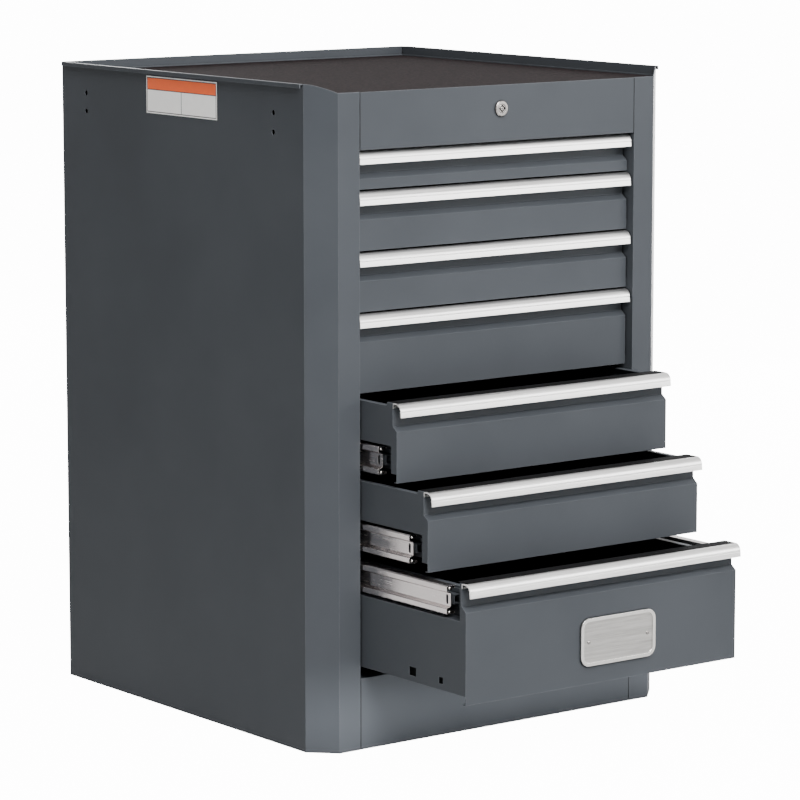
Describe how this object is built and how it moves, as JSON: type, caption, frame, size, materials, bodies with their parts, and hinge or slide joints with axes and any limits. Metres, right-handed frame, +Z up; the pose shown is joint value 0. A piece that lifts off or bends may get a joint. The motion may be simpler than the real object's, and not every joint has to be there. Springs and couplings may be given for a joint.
{
  "type": "rolling tool chest",
  "caption": "Painted steel tool cabinet with full-width pulls, drawers on telescopic ball-bearing slides, a key lock and a recessed top tray with a mat. Stands flat on its base.",
  "frame": {"origin": "the middle of the base, on the surface that the cabinet stands on", "axes": "+Z up, -Y out of the front towards the user, +X to the right of someone who faces the drawers"},
  "size_m": [0.631, 0.8671, 0.91],
  "materials": {
    "grey_paint": "dark grey powder coat, semi-gloss",
    "brushed_aluminium": "bright, finely brushed along its length",
    "zinc_plated_steel": "bright zinc plate",
    "chrome": "polished plating",
    "black_rubber": "matt, finely textured",
    "label_film": "satin film with a coloured band"
  },
  "bodies": {
    "cabinet": {"left_side_panel": "grey_paint", "right_side_panel": "grey_paint", "back_panel": "grey_paint", "bottom_pan": "grey_paint", "lock_rail": "grey_paint", "kick_panel": "grey_paint", "top_tray": "grey_paint", "top_mat": "black_rubber", "left_slide_rack": "zinc_plated_steel", "right_slide_rack": "zinc_plated_steel", "lock_housing": "chrome", "lock_nut": "chrome", "side_label": "label_film"},
    "drawer_1_slides": {"drawer_1_slide_left": "zinc_plated_steel", "drawer_1_slide_right": "zinc_plated_steel"},
    "drawer_1": {"drawer_1_box": "grey_paint", "drawer_1_pull": "brushed_aluminium", "drawer_1_liner": "black_rubber"},
    "drawer_2_slides": {"drawer_2_slide_left": "zinc_plated_steel", "drawer_2_slide_right": "zinc_plated_steel"},
    "drawer_2": {"drawer_2_box": "grey_paint", "drawer_2_pull": "brushed_aluminium", "drawer_2_liner": "black_rubber"},
    "drawer_3_slides": {"drawer_3_slide_left": "zinc_plated_steel", "drawer_3_slide_right": "zinc_plated_steel"},
    "drawer_3": {"drawer_3_box": "grey_paint", "drawer_3_pull": "brushed_aluminium", "drawer_3_liner": "black_rubber"},
    "drawer_4_slides": {"drawer_4_slide_left": "zinc_plated_steel", "drawer_4_slide_right": "zinc_plated_steel"},
    "drawer_4": {"drawer_4_box": "grey_paint", "drawer_4_pull": "brushed_aluminium", "drawer_4_liner": "black_rubber"},
    "drawer_5_slides": {"drawer_5_slide_left": "zinc_plated_steel", "drawer_5_slide_right": "zinc_plated_steel"},
    "drawer_5": {"drawer_5_box": "grey_paint", "drawer_5_pull": "brushed_aluminium", "drawer_5_liner": "black_rubber"},
    "drawer_6_slides": {"drawer_6_slide_left": "zinc_plated_steel", "drawer_6_slide_right": "zinc_plated_steel"},
    "drawer_6": {"drawer_6_box": "grey_paint", "drawer_6_pull": "brushed_aluminium", "drawer_6_liner": "black_rubber"},
    "drawer_7_slides": {"drawer_7_slide_left": "zinc_plated_steel", "drawer_7_slide_right": "zinc_plated_steel"},
    "drawer_7": {"drawer_7_box": "grey_paint", "drawer_7_pull": "brushed_aluminium", "drawer_7_liner": "black_rubber", "drawer_7_badge": "chrome"},
    "lock_cylinder": {"lock_core": "chrome", "lock_cam": "chrome"},
    "lock_bar": {"lock_bar": "zinc_plated_steel"}
  },
  "joints": [
    {"name": "drawer_1_slides_slide", "type": "slide", "parent": "cabinet", "child": "drawer_1_slides", "axis": [0, -1, 0], "range_m": [0, 0.255]},
    {"name": "drawer_1_slide", "type": "slide", "parent": "drawer_1_slides", "child": "drawer_1", "axis": [0, -1, 0], "range_m": [0, 0.255]},
    {"name": "drawer_2_slides_slide", "type": "slide", "parent": "cabinet", "child": "drawer_2_slides", "axis": [0, -1, 0], "range_m": [0, 0.255]},
    {"name": "drawer_2_slide", "type": "slide", "parent": "drawer_2_slides", "child": "drawer_2", "axis": [0, -1, 0], "range_m": [0, 0.255]},
    {"name": "drawer_3_slides_slide", "type": "slide", "parent": "cabinet", "child": "drawer_3_slides", "axis": [0, -1, 0], "range_m": [0, 0.255]},
    {"name": "drawer_3_slide", "type": "slide", "parent": "drawer_3_slides", "child": "drawer_3", "axis": [0, -1, 0], "range_m": [0, 0.255]},
    {"name": "drawer_4_slides_slide", "type": "slide", "parent": "cabinet", "child": "drawer_4_slides", "axis": [0, -1, 0], "range_m": [0, 0.255]},
    {"name": "drawer_4_slide", "type": "slide", "parent": "drawer_4_slides", "child": "drawer_4", "axis": [0, -1, 0], "range_m": [0, 0.255]},
    {"name": "drawer_5_slides_slide", "type": "slide", "parent": "cabinet", "child": "drawer_5_slides", "axis": [0, -1, 0], "range_m": [-0.09, 0.165]},
    {"name": "drawer_5_slide", "type": "slide", "parent": "drawer_5_slides", "child": "drawer_5", "axis": [0, -1, 0], "range_m": [0, 0.255]},
    {"name": "drawer_6_slides_slide", "type": "slide", "parent": "cabinet", "child": "drawer_6_slides", "axis": [0, -1, 0], "range_m": [-0.158, 0.097]},
    {"name": "drawer_6_slide", "type": "slide", "parent": "drawer_6_slides", "child": "drawer_6", "axis": [0, -1, 0], "range_m": [0, 0.255]},
    {"name": "drawer_7_slides_slide", "type": "slide", "parent": "cabinet", "child": "drawer_7_slides", "axis": [0, -1, 0], "range_m": [-0.2395, 0.0155]},
    {"name": "drawer_7_slide", "type": "slide", "parent": "drawer_7_slides", "child": "drawer_7", "axis": [0, -1, 0], "range_m": [0, 0.255]},
    {"name": "lock_turn", "type": "hinge", "parent": "cabinet", "child": "lock_cylinder", "pos_m": [0, -0.3, 0.8656], "axis": [0, 1, 0], "range_deg": [0, 90]},
    {"name": "lock_bar_slide", "type": "slide", "parent": "cabinet", "child": "lock_bar", "axis": [-1, 0, 0], "range_m": [0, 0.01]}
  ],
  "couplings": [
    {"joint": "lock_turn", "follows": "lock_bar_slide", "rad_per_m": 157.07}
  ]
}
